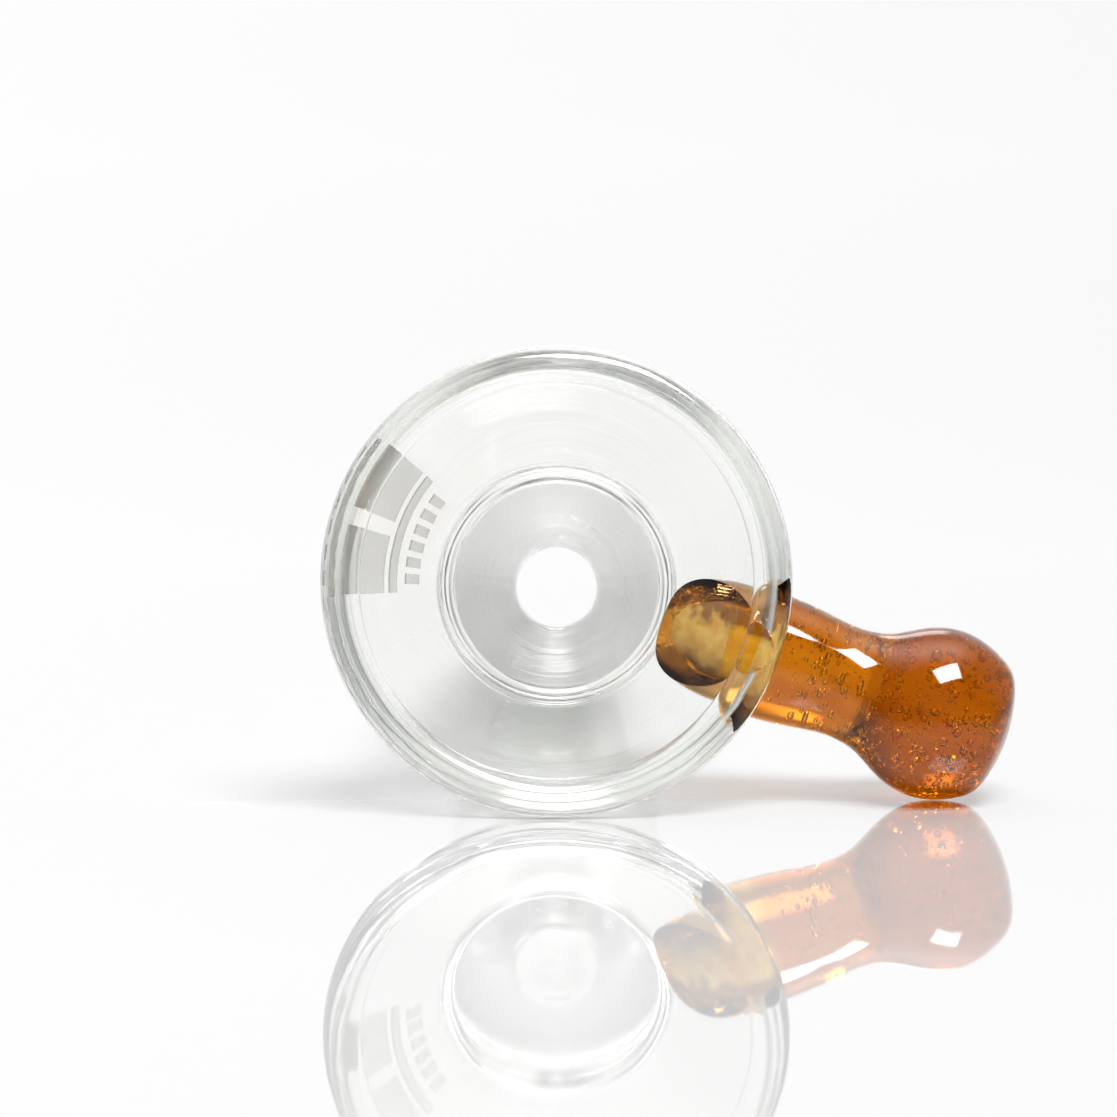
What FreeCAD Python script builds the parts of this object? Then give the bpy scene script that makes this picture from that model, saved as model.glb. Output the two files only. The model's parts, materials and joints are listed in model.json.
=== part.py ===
import FreeCAD, Part
import math
import os

# Glass funnel bowl for a water pipe, lying on its side as it rests on a table.
# Bowl frame used while modelling: +Y runs down the bowl's axis from the mouth to the ground joint,
# +X points to the handle side.  The finished bowl is then tipped so that the rim, the handle's knob
# and the tip of the joint all stand on z = 0.  All sizes are in millimetres.

# Stations along the bowl's axis, counted from the front of the lip
RIM_STATION = 1.6
LIP_END = 3.0
FUNNEL_END = 10.3
NECK_START = 16.0
HOLE_START = 18.2
HOLE_END = 19.6
THROAT_END = 25.0
NECK_END = 44.0
GRIND_END = 63.0
TIP_ROUNDING = 65.1
JOINT_END = 66.0

# Outside radii
RIM_RADIUS = 19.2
CONE_RADIUS = 18.2
SHOULDER_RADIUS = 11.0
NECK_RADIUS = 9.7
JOINT_RADIUS = 9.4
TIP_RADIUS = 8.3

# Inside radii
MOUTH_RADIUS = 16.0
THROAT_MOUTH_RADIUS = 8.9
HOLE_RADIUS = 3.35
BORE_RADIUS = 6.5

# Handle, measured from the bowl's axis along the handle's own axis
HANDLE_STATION = 8.6
WELD_START = 8.6
WELD_START_RADIUS = 2.3
WELD_END = 18.6
STEM_RADIUS = 5.3
STEM_TAPER = 0.07
WAIST_REACH = 25.0
WAIST_RADIUS = 4.65
STEM_END = 27.8
KNOB_SHOULDER = 5.2
KNOB_REACH = 33.2
KNOB_RADIUS = 7.15
KNOB_CROWN = 38.75
KNOB_CROWN_RADIUS = 3.4
HANDLE_END = 39.2

# Frosted mark on the outside of the funnel, a plain pattern of blocks, a line and squares.
# Each row is its first station, its width, its number of plates, their pitch and their spread in degrees.
FROST_THICKNESS = 0.15
FROST_CENTRE = 18.0
FROST_ROWS = [
    (3.7, 2.6, 2, 24.0, 19.0),
    (6.8, 0.6, 1, 0.0, 43.0),
    (8.2, 1.1, 6, 6.5, 4.0),
]

ORIGIN = FreeCAD.Vector(0, 0, 0)
BOWL_AXIS = FreeCAD.Vector(0, 1, 0)
SIDE_AXIS = FreeCAD.Vector(1, 0, 0)


def station(along, radius):
    """A point of the bowl's half section, drawn on the side away from the handle."""
    return FreeCAD.Vector(-radius, along, 0)


def reach(along, radius):
    """A point of the handle's half section."""
    return FreeCAD.Vector(along, radius, 0)


def line(start, end):
    return Part.LineSegment(start, end).toShape()


def arc(start, middle, end):
    return Part.Arc(start, middle, end).toShape()


def curve(points, first, last):
    """One smooth curve through the points that leaves and arrives in the given directions."""
    spline = Part.BSplineCurve()
    spline.interpolate(Points=points, InitialTangent=first, FinalTangent=last)
    return spline.toShape()


def dome(edge, crown):
    """The arc from an outline's edge to its crown on the axis, which it crosses squarely."""
    rise = crown.x - edge.x
    radius = (rise**2 + edge.y**2) / (2 * rise)
    half_turn = math.asin(edge.y / radius) / 2
    middle = reach(crown.x - radius * (1 - math.cos(half_turn)), radius * math.sin(half_turn))
    return arc(edge, middle, crown)


def outline(points):
    """Straight edges round a closed list of points."""
    return [line(start, end) for start, end in zip(points, points[1:] + points[:1])]


def turned(edges, axis, angle=360):
    """The solid swept by a closed outline about an axis through the origin."""
    face = Part.Face(Part.Wire(edges))
    return face.revolve(ORIGIN, axis, angle)


def between(along, start, start_radius, end, end_radius):
    """The radius at a station of a straight cone."""
    share = (along - start) / (end - start)
    return start_radius + share * (end_radius - start_radius)


def cone_outside(along):
    return between(along, LIP_END, CONE_RADIUS, FUNNEL_END, SHOULDER_RADIUS)


def cone_inside(along):
    return between(along, RIM_STATION, MOUTH_RADIUS, FUNNEL_END, THROAT_MOUTH_RADIUS)


def joint_outside(along):
    return between(along, NECK_END, JOINT_RADIUS, JOINT_END, TIP_RADIUS)


def shoulder():
    """The outside curve that carries the funnel's cone into the neck."""
    cone_way = station(FUNNEL_END - LIP_END, SHOULDER_RADIUS - CONE_RADIUS)
    points = [
        station(FUNNEL_END, SHOULDER_RADIUS),
        station(11.7, 10.1),
        station(NECK_START, NECK_RADIUS),
    ]
    return curve(points, cone_way, station(1, 0))


def rim_lip():
    """The fire-polished bead round the mouth."""
    outer = station(RIM_STATION, RIM_RADIUS)
    inner = station(RIM_STATION, MOUTH_RADIUS)
    crown = station(0, (RIM_RADIUS + MOUTH_RADIUS) / 2)
    back_outer = station(LIP_END, CONE_RADIUS)
    back_inner = station(LIP_END, cone_inside(LIP_END))
    edges = [
        arc(inner, crown, outer),
        line(outer, back_outer),
        line(back_outer, back_inner),
        line(back_inner, inner),
    ]
    return turned(edges, BOWL_AXIS)


def funnel_wall():
    corners = [
        station(LIP_END, cone_inside(LIP_END)),
        station(LIP_END, CONE_RADIUS),
        station(FUNNEL_END, SHOULDER_RADIUS),
        station(FUNNEL_END, THROAT_MOUTH_RADIUS),
    ]
    return turned(outline(corners), BOWL_AXIS)


def throat():
    """The thick pinched floor of the funnel with its single draw hole."""
    floor_edge = station(FUNNEL_END, THROAT_MOUTH_RADIUS)
    cone_way = station(FUNNEL_END - RIM_STATION, THROAT_MOUTH_RADIUS - MOUTH_RADIUS)
    hole_front = station(HOLE_START, HOLE_RADIUS)
    hole_back = station(HOLE_END, HOLE_RADIUS)
    bore_front = station(THROAT_END, BORE_RADIUS)
    along = station(1, 0)
    floor = curve([floor_edge, station(12.8, 6.8), station(15.5, 4.6), hole_front], cone_way, along)
    flare = curve([hole_back, station(20.9, 4.5), station(22.4, 6.0), bore_front], along, along)
    neck_front = station(NECK_START, NECK_RADIUS)
    neck_back = station(THROAT_END, NECK_RADIUS)
    cone_back = station(FUNNEL_END, SHOULDER_RADIUS)
    edges = [
        floor,
        line(hole_front, hole_back),
        flare,
        line(bore_front, neck_back),
        line(neck_back, neck_front),
        shoulder(),
        line(cone_back, floor_edge),
    ]
    return turned(edges, BOWL_AXIS)


def tube(start, start_radius, end, end_radius):
    corners = [
        station(start, BORE_RADIUS),
        station(start, start_radius),
        station(end, end_radius),
        station(end, BORE_RADIUS),
    ]
    return turned(outline(corners), BOWL_AXIS)


def neck():
    return tube(THROAT_END, NECK_RADIUS, NECK_END, JOINT_RADIUS)


def ground_joint():
    return tube(NECK_END, JOINT_RADIUS, GRIND_END, joint_outside(GRIND_END))


def joint_tip():
    """The plain end of the joint past the grinding, with its edge melted round."""
    front_inner = station(GRIND_END, BORE_RADIUS)
    front_outer = station(GRIND_END, joint_outside(GRIND_END))
    back_outer = station(TIP_ROUNDING, joint_outside(TIP_ROUNDING))
    back_inner = station(TIP_ROUNDING, BORE_RADIUS)
    crown = station(JOINT_END, (joint_outside(TIP_ROUNDING) + BORE_RADIUS) / 2)
    edges = [
        line(front_inner, front_outer),
        line(front_outer, back_outer),
        arc(back_outer, crown, back_inner),
        line(back_inner, front_inner),
    ]
    return turned(edges, BOWL_AXIS)


def bowl_envelope():
    """The bowl's outside filled solid, which the handle's root is fitted against."""
    edges = [
        line(station(0, 0), station(0, RIM_RADIUS)),
        line(station(0, RIM_RADIUS), station(RIM_STATION, RIM_RADIUS)),
        line(station(RIM_STATION, RIM_RADIUS), station(LIP_END, CONE_RADIUS)),
        line(station(LIP_END, CONE_RADIUS), station(FUNNEL_END, SHOULDER_RADIUS)),
        shoulder(),
        line(station(NECK_START, NECK_RADIUS), station(THROAT_END, NECK_RADIUS)),
        line(station(THROAT_END, NECK_RADIUS), station(THROAT_END, 0)),
        line(station(THROAT_END, 0), station(0, 0)),
    ]
    return turned(edges, BOWL_AXIS)


def handle_piece(start, end, sides):
    """A solid turned about the handle's axis between two reaches, set in its place on the bowl."""
    first = sides[0].firstVertex().Point
    last = sides[-1].lastVertex().Point
    edges = [line(start, first)] + sides
    if last.y > 0:
        edges.append(line(last, end))
    edges.append(line(end, start))
    solid = turned(edges, SIDE_AXIS)
    solid.rotate(ORIGIN, BOWL_AXIS, HANDLE_DROOP)
    solid.translate(BOWL_AXIS * HANDLE_STATION)
    return solid


def handle_weld():
    """The gather that joins the handle to the funnel, narrower towards the neck."""
    root_edge = reach(WELD_START, WELD_START_RADIUS)
    stem_edge = reach(WELD_END, STEM_RADIUS)
    points = [root_edge, reach(11.0, 4.1), reach(14.2, 5.15), stem_edge]
    side = curve(points, reach(1, 1), reach(1, -STEM_TAPER))
    gather = handle_piece(reach(WELD_START, 0), reach(WELD_END, 0), [side])
    return gather.cut(bowl_envelope()).Solids[0]


def handle_stem():
    waist = reach(WAIST_REACH, WAIST_RADIUS)
    points = [reach(WELD_END, STEM_RADIUS), reach(21.8, 5.0), waist, reach(STEM_END, KNOB_SHOULDER)]
    side = curve(points, reach(1, -STEM_TAPER), reach(1, 0.5))
    return handle_piece(reach(WELD_END, 0), reach(STEM_END, 0), [side])


def handle_knob():
    shoulder_edge = reach(STEM_END, KNOB_SHOULDER)
    crown_edge = reach(KNOB_CROWN, KNOB_CROWN_RADIUS)
    points = [shoulder_edge, reach(30.2, 6.5), reach(KNOB_REACH, KNOB_RADIUS), reach(36.9, 6.0), crown_edge]
    side = curve(points, reach(1, 0.5), reach(0.25, -1))
    end = reach(HANDLE_END, 0)
    return handle_piece(reach(STEM_END, 0), end, [side, dome(crown_edge, end)])


def frost_plate(start, width, centre, spread):
    """One thin curved plate lying on the outside of the funnel."""
    end = start + width
    corners = [
        station(start, cone_outside(start)),
        station(start, cone_outside(start) + FROST_THICKNESS),
        station(end, cone_outside(end) + FROST_THICKNESS),
        station(end, cone_outside(end)),
    ]
    plate = turned(outline(corners), BOWL_AXIS, spread)
    plate.rotate(ORIGIN, BOWL_AXIS, centre - spread / 2)
    return plate


def frosted_mark():
    plates = []
    for start, width, count, pitch, spread in FROST_ROWS:
        for number in range(count):
            centre = FROST_CENTRE + (number - (count - 1) / 2) * pitch
            plates.append(frost_plate(start, width, centre, spread))
    return Part.makeCompound(plates)


# The bowl tips until its rim and the tip of its joint rest on one plane
DIP = math.atan2(RIM_RADIUS - joint_outside(TIP_ROUNDING), TIP_ROUNDING - RIM_STATION)
RIM_HEIGHT = RIM_RADIUS * math.cos(DIP) + RIM_STATION * math.sin(DIP)

# The handle droops until its knob rests on the same plane
AXIS_HEIGHT = RIM_HEIGHT - HANDLE_STATION * math.sin(DIP)
HANDLE_DROOP = math.degrees(math.asin((AXIS_HEIGHT - KNOB_RADIUS) / (KNOB_REACH * math.cos(DIP))))

PIECES = {
    "rim_lip": rim_lip,
    "funnel_wall": funnel_wall,
    "throat": throat,
    "neck": neck,
    "ground_joint": ground_joint,
    "joint_tip": joint_tip,
    "handle_weld": handle_weld,
    "handle_stem": handle_stem,
    "handle_knob": handle_knob,
    "frosted_mark": frosted_mark,
}


# These pieces are fused to one another on the finished bowl
FUSED = [name for name in PIECES if name != "frosted_mark"]


def share_contacts(shapes):
    """Draws each piece's contact outline on its neighbour, so that fused faces match exactly."""
    first, *others = [shapes[name] for name in FUSED]
    pieces = first.generalFuse(others)[1]
    for name, solids in zip(FUSED, pieces):
        shapes[name] = solids[0]


def main():
    shapes = {name: make() for name, make in PIECES.items()}
    share_contacts(shapes)
    for shape in shapes.values():
        shape.rotate(ORIGIN, SIDE_AXIS, -math.degrees(DIP))
        shape.translate(FreeCAD.Vector(0, 0, RIM_HEIGHT))
    box = Part.makeCompound(list(shapes.values())).optimalBoundingBox(False, False)
    centring = FreeCAD.Vector(-box.Center.x, -box.Center.y, -box.ZMin)
    os.makedirs("parts", exist_ok=True)
    for name, shape in shapes.items():
        shape.translate(centring)
        shape.exportStep("parts/" + name + ".step")
        print(name, shape.isValid(), len(shape.Solids), round(shape.Volume, 1))
    print("dip", math.degrees(DIP), "droop", HANDLE_DROOP)
    print("centring", list(centring))
    print("box", box)


main()
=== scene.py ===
import json
import math
import random

import bpy
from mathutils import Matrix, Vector
from mathutils.bvhtree import BVHTree


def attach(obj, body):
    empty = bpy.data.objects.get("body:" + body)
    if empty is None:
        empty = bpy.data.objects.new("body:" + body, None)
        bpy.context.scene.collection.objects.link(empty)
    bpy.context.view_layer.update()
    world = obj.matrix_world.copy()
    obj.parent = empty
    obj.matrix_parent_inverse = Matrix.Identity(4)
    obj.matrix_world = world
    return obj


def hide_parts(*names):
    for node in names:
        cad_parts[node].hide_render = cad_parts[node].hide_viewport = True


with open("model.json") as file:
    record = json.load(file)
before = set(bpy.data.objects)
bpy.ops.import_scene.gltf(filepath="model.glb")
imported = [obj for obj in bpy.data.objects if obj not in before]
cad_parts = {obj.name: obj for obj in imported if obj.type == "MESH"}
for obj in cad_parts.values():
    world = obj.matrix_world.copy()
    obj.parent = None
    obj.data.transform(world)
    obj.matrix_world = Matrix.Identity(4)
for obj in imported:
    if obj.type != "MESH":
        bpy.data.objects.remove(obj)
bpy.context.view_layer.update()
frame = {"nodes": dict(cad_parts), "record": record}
nodes = frame["nodes"]

# Sizes are in metres. Stations are measured along the bowl's axis from the front of its lip.
TAPER_STATION = 0.0535
HANDLE_STATION = 0.0086
HANDLE_DROOP = math.radians(18.892)
FLOOR_SIZE = 12.0
GLASS_IOR = 1.474

CAMERA_DISTANCE = 0.475
CAMERA_HEIGHT = 0.0854
CLIP_START = 0.01
SENSOR_WIDTH = 36
PICTURE_WIDTH = 0.0905
PICTURE_SHIFT = (0.0018, 0.0197)
EXPOSURE = 0.3
GLASS_BOUNCES = 24
MIRROR_BOUNCES = 12

CLEAR_PIECES = ["rim_lip", "funnel_wall", "throat", "neck", "ground_joint", "joint_tip"]
AMBER_PIECES = ["handle_weld", "handle_stem", "handle_knob"]
FUSED_PIECES = CLEAR_PIECES + AMBER_PIECES

# Clear pieces are turned again from the CAD outline with this many sides, as refraction shows facets
TURNED_SIDES = 360
OUTLINE_STEP = 0.00003
FUNNEL_STEP = 0.0002
SHARP_ANGLE = math.radians(25)

# How far a face has to lean outward or inward to be one of a tube's sides, and not its end
SIDE_FACING = 0.05

# Faces of two pieces touch when they are this near and look at each other this squarely
CONTACT_GAP = 0.00003
CONTACT_FACING = -0.9

# Handle radius against its reach from the bowl's axis
HANDLE_OUTLINE = [(0.0186, 0.0053), (0.025, 0.00465), (0.0278, 0.0052), (0.0332, 0.00715), (0.0388, 0.0036)]

# Pale, deep and dark streaks in the amber
STEM_STREAKS = ((0.72, 0.25, 0.004), (0.58, 0.16, 0.001), (0.42, 0.09, 0.0005))
KNOB_STREAKS = ((0.50, 0.125, 0.001), (0.41, 0.085, 0.0004), (0.26, 0.045, 0.0002))

# Name, nearest and farthest reach, count and seed of each group of bubbles
BUBBLE_GROUPS = [("stem_bubbles", 0.0192, 0.0275, 330, 3), ("knob_bubbles", 0.0285, 0.0380, 900, 8)]
BUBBLE_MARGIN = 0.0008
BUBBLE_SMALLEST = 0.00006
BUBBLE_GROWTH = 0.00026
BUBBLE_SIDES = 14
BUBBLE_RINGS = 8

# Direction, width, height, soft edge and strength of each softbox: key, overhead and rear
SOFTBOXES = [
    (Vector((0.20, -0.40, 0.90)), 0.56, 0.38, 0.05, 34.0),
    (Vector((0.0, 0.25, 0.97)), 0.9, 0.5, 0.4, 2.0),
    (Vector((0.0, 0.86, 0.52)), 0.25, 0.25, 0.08, 2.5),
]

taper = next(mount for mount in frame["record"]["mounts"] if mount["name"] == "ground_taper")
BOWL_AXIS = Vector(taper["axis"]).normalized()
LIP_CENTRE = Vector(taper["pos_m"]) - BOWL_AXIS * TAPER_STATION
ACROSS = Vector((1, 0, 0))
UPRIGHT = ACROSS.cross(BOWL_AXIS)
HANDLE_AXIS = ACROSS * math.cos(HANDLE_DROOP) - UPRIGHT * math.sin(HANDLE_DROOP)
HANDLE_SIDE = HANDLE_AXIS.cross(BOWL_AXIS)
HANDLE_ROOT = LIP_CENTRE + BOWL_AXIS * HANDLE_STATION
DIP = math.atan2(-BOWL_AXIS.z, BOWL_AXIS.y)


class Shader:
    """A material's or the world's node tree with short ways to add nodes."""

    def __init__(self, owner):
        owner.use_nodes = True
        self.tree = owner.node_tree
        self.tree.nodes.clear()

    def node(self, kind, **settings):
        """A new node of this kind."""
        made = self.tree.nodes.new(kind)
        for name, value in settings.items():
            setattr(made, name, value)
        return made

    def feed(self, socket, value):
        """Puts a value or another node's output into a socket."""
        if isinstance(value, bpy.types.NodeSocket):
            self.tree.links.new(value, socket)
        else:
            socket.default_value = value

    def math(self, operation, first, second=0.0):
        """The result of one sum on two values."""
        made = self.node("ShaderNodeMath", operation=operation)
        self.feed(made.inputs[0], first)
        self.feed(made.inputs[1], second)
        return made.outputs[0]

    def along(self, vector, direction, origin=Vector((0, 0, 0))):
        """How far a point lies along a direction from an origin."""
        made = self.node("ShaderNodeVectorMath", operation="DOT_PRODUCT")
        self.feed(made.inputs[0], vector)
        made.inputs[1].default_value = direction
        return self.math("SUBTRACT", made.outputs["Value"], origin.dot(direction))

    def spread(self, value, low, high, start=0.0, end=1.0, smooth=False):
        """The range from low to high, spread over the range from start to end."""
        made = self.node("ShaderNodeMapRange")
        if smooth:
            made.interpolation_type = "SMOOTHSTEP"
        self.feed(made.inputs["Value"], value)
        made.inputs["From Min"].default_value = low
        made.inputs["From Max"].default_value = high
        made.inputs["To Min"].default_value = start
        made.inputs["To Max"].default_value = end
        return made.outputs["Result"]

    def place(self):
        """The point's place on the object."""
        return self.node("ShaderNodeTexCoord").outputs["Object"]

    def turned(self, vector, rotation, scale):
        """A point in a turned frame, stretched."""
        made = self.node("ShaderNodeMapping")
        self.feed(made.inputs["Vector"], vector)
        made.inputs["Rotation"].default_value = rotation
        made.inputs["Scale"].default_value = scale
        return made.outputs["Vector"]

    def noise(self, vector, scale, detail=2.0):
        """Soft random cloud, from 0 to 1."""
        made = self.node("ShaderNodeTexNoise")
        self.feed(made.inputs["Vector"], vector)
        made.inputs["Scale"].default_value = scale
        made.inputs["Detail"].default_value = detail
        return made.outputs["Fac"]

    def ramp(self, value, stops):
        """A colour for each value, blended between stops."""
        made = self.node("ShaderNodeValToRGB")
        self.feed(made.inputs["Fac"], value)
        elements = made.color_ramp.elements
        while len(elements) < len(stops):
            elements.new(0.5)
        for element, (position, colour) in zip(elements, stops):
            element.position = position
            element.color = (*colour, 1)
        return made.outputs["Color"]

    def bump(self, height, strength, distance):
        """Normals of a surface raised by a height."""
        made = self.node("ShaderNodeBump")
        self.feed(made.inputs["Height"], height)
        made.inputs["Strength"].default_value = strength
        made.inputs["Distance"].default_value = distance
        return made.outputs["Normal"]


def surface(shader, **values):
    """Ends a material in one Principled surface with these values."""
    made = shader.node("ShaderNodeBsdfPrincipled")
    for name, value in values.items():
        shader.feed(made.inputs[name.replace("_", " ")], value)
    out = shader.node("ShaderNodeOutputMaterial")
    shader.tree.links.new(made.outputs["BSDF"], out.inputs["Surface"])


def material(name):
    """A new material and its node tree."""
    made = bpy.data.materials.new(name)
    return made, Shader(made)


def clear_glass(name, ripple):
    """Clear glass with faint rings left by turning it in the flame."""
    made, shader = material(name)
    rings = shader.noise(shader.turned(shader.place(), (DIP, 0, 0), (12, 1400, 12)), 1.0)
    surface(
        shader,
        Base_Color=shader.ramp(rings, [(0.3, (0.955, 0.965, 0.940)), (0.7, (0.975, 0.982, 0.965))]),
        Roughness=0.0,
        IOR=GLASS_IOR,
        Transmission_Weight=1.0,
        Normal=shader.bump(rings, ripple, 0.0001),
    )
    return made


def ground_glass():
    """The fine matt skin left by grinding the taper, with faint lines around it."""
    made, shader = material("ground_glass_finish")
    grain = shader.noise(shader.place(), 9000.0, 3.0)
    lines = shader.noise(shader.turned(shader.place(), (DIP, 0, 0), (80, 6000, 80)), 1.0)
    grit = shader.math("ADD", grain, shader.math("MULTIPLY", lines, 0.4))
    surface(
        shader,
        Base_Color=shader.ramp(grain, [(0.3, (0.95, 0.955, 0.95)), (0.7, (0.99, 0.99, 0.99))]),
        Roughness=shader.spread(grit, 0.63, 0.75, 0.02, 0.42),
        IOR=GLASS_IOR,
        Transmission_Weight=1.0,
        Normal=shader.bump(grit, 0.2, 0.00003),
    )
    return made


def frosted_glass():
    """The sandblasted pattern, whiter in its deeper pits."""
    made, shader = material("frosted_glass_finish")
    grain = shader.noise(shader.place(), 5000.0, 3.0)
    surface(
        shader,
        Base_Color=shader.ramp(grain, [(0.3, (0.90, 0.89, 0.87)), (0.7, (0.97, 0.96, 0.94))]),
        Roughness=shader.spread(grain, 0.3, 0.7, 0.3, 0.45),
        IOR=GLASS_IOR,
        Transmission_Weight=0.9,
        Normal=shader.bump(grain, 0.3, 0.00003),
    )
    return made


def amber_glass(name, pale, deep, dark):
    """Amber glass with streaks drawn out along the handle."""
    made, shader = material(name)
    point = shader.place()
    local = shader.node("ShaderNodeCombineXYZ")
    for axis, direction, scale in (
        ("X", HANDLE_AXIS, 90.0),
        ("Y", HANDLE_SIDE, 330.0),
        ("Z", BOWL_AXIS, 330.0),
    ):
        reach = shader.along(point, direction, HANDLE_ROOT)
        shader.feed(local.inputs[axis], shader.math("MULTIPLY", reach, scale))
    streaks = shader.noise(local.outputs["Vector"], 1.0, 4.0)
    surface(
        shader,
        Base_Color=shader.ramp(streaks, [(0.30, dark), (0.46, deep), (0.68, pale)]),
        Roughness=0.0,
        IOR=GLASS_IOR,
        Specular_IOR_Level=0.3,
        Transmission_Weight=1.0,
        Normal=shader.bump(streaks, 0.04, 0.0002),
    )
    return made


def weld_glass():
    """The gather at the root, clouded with brown."""
    made, shader = material("amber_weld_finish")
    cloud = shader.noise(shader.place(), 420.0, 3.0)
    surface(
        shader,
        Base_Color=shader.ramp(cloud, [(0.35, (0.42, 0.17, 0.03)), (0.65, (0.72, 0.42, 0.12))]),
        Roughness=0.0,
        IOR=GLASS_IOR,
        Transmission_Weight=1.0,
        Normal=shader.bump(cloud, 0.05, 0.0003),
    )
    return made


def weld_film():
    """The tinted join under the weld, darker brown above and below a golden middle."""
    made, shader = material("banded_join_finish")
    point = shader.place()
    side = shader.along(point, HANDLE_SIDE, HANDLE_ROOT)
    cloud = shader.spread(shader.noise(point, 500.0, 4.0), 0.3, 0.7, -0.0012, 0.0012)
    # Tint bands across the handle: darker brown towards the top and bottom of the join, golden in the
    # middle
    level = shader.spread(shader.math("ADD", side, cloud), -0.005, 0.005)
    surface(
        shader,
        Base_Color=shader.ramp(
            level,
            [
                (0.20, (0.17, 0.075, 0.03)),
                (0.34, (0.75, 0.48, 0.12)),
                (0.56, (0.95, 0.68, 0.18)),
                (0.68, (0.15, 0.06, 0.025)),
            ],
        ),
        Roughness=0.0,
        IOR=1.0,
        Transmission_Weight=1.0,
    )
    return made


def seam():
    """Where two pieces are fused there is no surface to see."""
    made, shader = material("fused_seam")
    clear = shader.node("ShaderNodeBsdfTransparent")
    out = shader.node("ShaderNodeOutputMaterial")
    shader.tree.links.new(clear.outputs["BSDF"], out.inputs["Surface"])
    return made


def bubble_glass():
    """The skin of a bubble, seen from inside the glass."""
    made, shader = material("seed_bubble_finish")
    surface(shader, Base_Color=(1, 1, 1, 1), Roughness=0.0, IOR=GLASS_IOR, Transmission_Weight=1.0)
    return made


def contact_faces(mesh, neighbours):
    """The faces of a mesh that lie against one of these CAD nodes."""
    trees = []
    for neighbour in neighbours:
        other = nodes[neighbour].data
        corners = [vertex.co for vertex in other.vertices]
        trees.append(BVHTree.FromPolygons(corners, [list(face.vertices) for face in other.polygons]))
    touching = []
    for face in mesh.polygons:
        for tree in trees:
            normal = tree.find_nearest(face.center, CONTACT_GAP)[1]
            if normal is not None and normal.dot(face.normal) < CONTACT_FACING:
                touching.append(face)
                break
    return touching


def outward(point):
    """The direction from the bowl's axis to a point."""
    arm = point - LIP_CENTRE
    return (arm - BOWL_AXIS * arm.dot(BOWL_AXIS)).normalized()


def section(name):
    """A turned CAD node's outline as stations and radii, down its outside and back up its inside."""
    mesh = nodes[name].data
    sides = ({}, {})
    for face in mesh.polygons:
        facing = face.normal.dot(outward(face.center))
        if abs(facing) > SIDE_FACING:
            for number in face.vertices:
                arm = mesh.vertices[number].co - LIP_CENTRE
                along = arm.dot(BOWL_AXIS)
                sides[facing < 0][round(along / OUTLINE_STEP)] = (along, (arm - BOWL_AXIS * along).length)
    outside, inside = ([side[key] for key in sorted(side)] for side in sides)
    return outside + inside[::-1]


def divided(outline, step):
    """The outline with more points along its long straight parts."""
    points = []
    for (start, radius), (end, next_radius) in zip(outline, outline[1:] + outline[:1]):
        count = max(1, round(math.hypot(end - start, next_radius - radius) / step))
        for number in range(count):
            share = number / count
            points.append((start + (end - start) * share, radius + (next_radius - radius) * share))
    return points


def turned_piece(name, outline):
    """A smooth body turned about the bowl's axis."""
    corners = []
    for along, radius in outline:
        for number in range(TURNED_SIDES):
            turn = math.tau * number / TURNED_SIDES
            arm = ACROSS * math.cos(turn) + UPRIGHT * math.sin(turn)
            corners.append(LIP_CENTRE + BOWL_AXIS * along + arm * radius)
    faces = []
    for ring in range(len(outline)):
        here = ring * TURNED_SIDES
        there = (ring + 1) % len(outline) * TURNED_SIDES
        for number in range(TURNED_SIDES):
            after = (number + 1) % TURNED_SIDES
            faces.append((here + number, there + number, there + after, here + after))
    mesh = bpy.data.meshes.new(name)
    mesh.from_pydata(corners, [], faces)
    mesh.shade_smooth()
    mesh.set_sharp_from_angle(angle=SHARP_ANGLE)
    piece = bpy.data.objects.new(name, mesh)
    bpy.context.scene.collection.objects.link(piece)
    return piece


def finish_piece(piece, finishes, fused, neighbours):
    """Gives a piece its finishes: the first inside, the last outside, and none where it is fused."""
    mesh = piece.data
    mesh.materials.clear()
    for finish in finishes + [fused]:
        mesh.materials.append(finish)
    if len(finishes) > 1:
        for face in mesh.polygons:
            face.material_index = int(face.normal.dot(outward(face.center)) > 0)
    for face in contact_faces(mesh, neighbours):
        face.material_index = len(finishes)


def clear_piece(name, finishes, fused):
    """A finely turned piece that replaces the clear CAD node of this name."""
    outline = section(name)
    if name == "funnel_wall":
        outline = divided(outline, FUNNEL_STEP)
    piece = turned_piece(name + "_glass", outline)
    finish_piece(piece, finishes, fused, [other for other in FUSED_PIECES if other != name])
    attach(piece, "root")
    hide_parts(name)


def handle_radius(reach):
    """The handle's radius at a reach from the bowl's axis."""
    for (start, radius), (end, next_radius) in zip(HANDLE_OUTLINE, HANDLE_OUTLINE[1:]):
        if reach <= end:
            return radius + (next_radius - radius) * (reach - start) / (end - start)
    return HANDLE_OUTLINE[-1][1]


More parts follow.
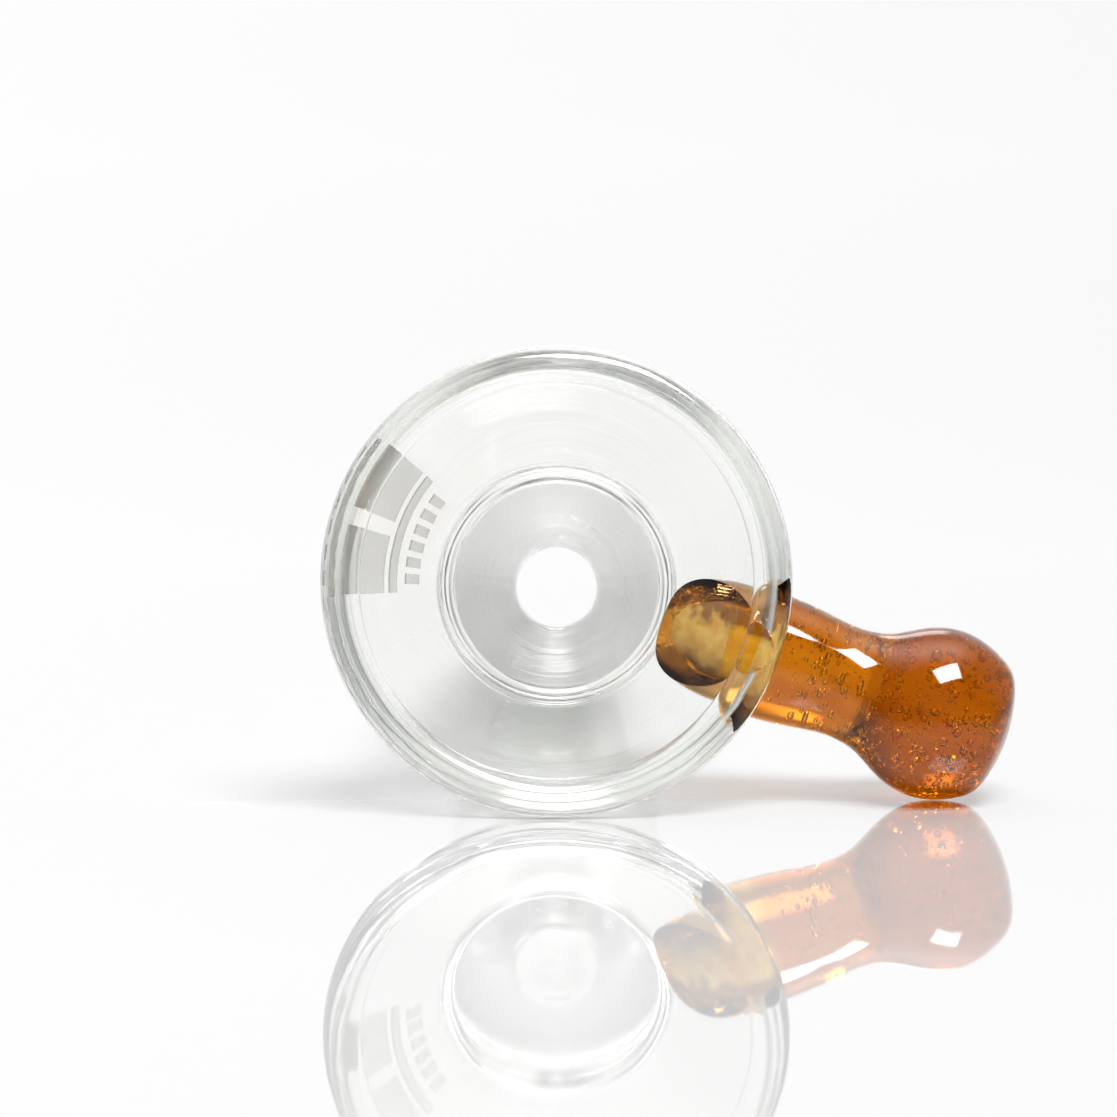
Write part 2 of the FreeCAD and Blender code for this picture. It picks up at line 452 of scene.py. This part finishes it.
def seed_bubbles(name, start, end, count, seed, finish):
    """Tiny round voids inside the amber glass, with their surfaces facing the glass."""
    rng = random.Random(seed)
    corners = []
    faces = []
    bpy.ops.mesh.primitive_uv_sphere_add(segments=BUBBLE_SIDES, ring_count=BUBBLE_RINGS, radius=1.0)
    pattern = bpy.context.object
    for _ in range(count):
        reach = rng.uniform(start, end)
        room = handle_radius(reach) - BUBBLE_MARGIN
        size = BUBBLE_SMALLEST + BUBBLE_GROWTH * rng.random() ** 4
        arm = room * math.sqrt(rng.random())
        turn = rng.uniform(0, math.tau)
        centre = HANDLE_ROOT + HANDLE_AXIS * reach
        centre += arm * (HANDLE_SIDE * math.cos(turn) + BOWL_AXIS * math.sin(turn))
        first = len(corners)
        corners += [centre + vertex.co * size for vertex in pattern.data.vertices]
        faces += [[first + v for v in reversed(face.vertices)] for face in pattern.data.polygons]
    bpy.data.objects.remove(pattern)
    mesh = bpy.data.meshes.new(name)
    mesh.from_pydata(corners, [], faces)
    mesh.shade_smooth()
    mesh.materials.append(finish)
    bubbles = bpy.data.objects.new(name, mesh)
    bpy.context.scene.collection.objects.link(bubbles)
    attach(bubbles, "root")


def dress_object():
    """Gives every piece its glass, and the handle its bubbles."""
    polished = clear_glass("fire_polished_finish", 0.012)
    worked = clear_glass("clear_glass_finish", 0.08)
    fused = seam()
    clear_piece("rim_lip", [polished], fused)
    clear_piece("funnel_wall", [worked], fused)
    clear_piece("throat", [worked], fused)
    clear_piece("neck", [worked], fused)
    clear_piece("ground_joint", [worked, ground_glass()], fused)
    clear_piece("joint_tip", [polished], fused)
    stem = amber_glass("amber_stem_finish", *STEM_STREAKS)
    knob = amber_glass("amber_knob_finish", *KNOB_STREAKS)
    weld = nodes["handle_weld"]
    finish_piece(weld, [weld_glass()], fused, ["handle_stem"])
    finish_piece(nodes["handle_stem"], [stem], fused, ["handle_weld", "handle_knob"])
    finish_piece(nodes["handle_knob"], [knob], fused, ["handle_stem"])
    film = len(weld.data.materials)
    weld.data.materials.append(weld_film())
    for face in contact_faces(weld.data, CLEAR_PIECES):
        face.material_index = film
    finish_piece(nodes["frosted_mark"], [frosted_glass()], fused, [])
    bubble = bubble_glass()
    for group in BUBBLE_GROUPS:
        seed_bubbles(*group, bubble)


def floor():
    """A glossy white acrylic sheet."""
    bpy.ops.mesh.primitive_plane_add(size=FLOOR_SIZE, location=(0, 0, 0))
    sheet = bpy.context.object
    sheet.name = "acrylic_floor"
    made, shader = material("white_acrylic")
    surface(shader, Base_Color=(0.38, 0.38, 0.38, 1), Roughness=0.02, IOR=1.5, Coat_Weight=0.6)
    sheet.data.materials.append(made)


def softbox(shader, direction, toward, width, height, edge, strength):
    """A bright rectangle in the surroundings, seen in one direction, that fades over its edge."""
    centre = toward.normalized()
    across = centre.cross(Vector((0, 0, 1))).normalized()
    upward = across.cross(centre)
    edges = []
    for axis, size in ((across, width), (upward, height)):
        offset = shader.math("ABSOLUTE", shader.along(direction, axis))
        edges.append(shader.spread(offset, (size - edge) / 2, (size + edge) / 2, 1.0, 0.0))
    ahead = shader.math("GREATER_THAN", shader.along(direction, centre), 0.0)
    patch = shader.math("MULTIPLY", edges[0], edges[1])
    return shader.math("MULTIPLY", shader.math("MULTIPLY", patch, ahead), strength)


def surroundings():
    """A white studio that is darker behind the camera, to the sides and overhead, with softboxes."""
    world = bpy.data.worlds.new("studio")
    bpy.context.scene.world = world
    shader = Shader(world)
    direction = shader.node("ShaderNodeTexCoord").outputs["Generated"]
    depth = shader.along(direction, Vector((0, 1, 0)))
    side = shader.along(direction, Vector((1, 0, 0)))
    height = shader.along(direction, Vector((0, 0, 1)))
    level = shader.spread(depth, -0.35, 0.25, 0.12, 1.0, smooth=True)
    for share in (
        shader.spread(side, -0.1, 0.1, 1.0, 0.95),
        shader.spread(shader.math("ABSOLUTE", side), 0.3, 0.65, 1.0, 0.4, smooth=True),
        shader.spread(height, 0.4, 0.8, 1.0, 0.6, smooth=True),
    ):
        level = shader.math("MULTIPLY", level, share)
    lights = 0.0
    for box in SOFTBOXES:
        lights = shader.math("ADD", softbox(shader, direction, *box), lights)
    background = shader.node("ShaderNodeBackground")
    shader.feed(background.inputs["Strength"], shader.math("ADD", level, lights))
    out = shader.node("ShaderNodeOutputWorld")
    shader.tree.links.new(background.outputs["Background"], out.inputs["Surface"])


def camera():
    """Looks slightly down into the bowl's mouth."""
    lens = bpy.data.cameras.new("camera")
    seat = bpy.data.objects.new("camera", lens)
    bpy.context.scene.collection.objects.link(seat)
    seat.location = (LIP_CENTRE.x, LIP_CENTRE.y - CAMERA_DISTANCE, CAMERA_HEIGHT)
    fall = CAMERA_HEIGHT - LIP_CENTRE.z
    seat.rotation_euler = (math.pi / 2 - math.atan2(fall, CAMERA_DISTANCE), 0, 0)
    lens.sensor_width = SENSOR_WIDTH
    lens.lens = SENSOR_WIDTH * math.hypot(CAMERA_DISTANCE, fall) / PICTURE_WIDTH
    lens.shift_x, lens.shift_y = PICTURE_SHIFT
    lens.clip_start = CLIP_START
    bpy.context.scene.camera = seat


def render_depth():
    """Enough bounces for light to cross several walls of glass."""
    scene = bpy.context.scene
    scene.view_settings.view_transform = "Standard"
    scene.view_settings.exposure = EXPOSURE
    scene.cycles.max_bounces = GLASS_BOUNCES
    scene.cycles.transmission_bounces = GLASS_BOUNCES
    scene.cycles.glossy_bounces = MIRROR_BOUNCES
    scene.cycles.transparent_max_bounces = GLASS_BOUNCES


dress_object()
floor()
surroundings()
camera()
render_depth()
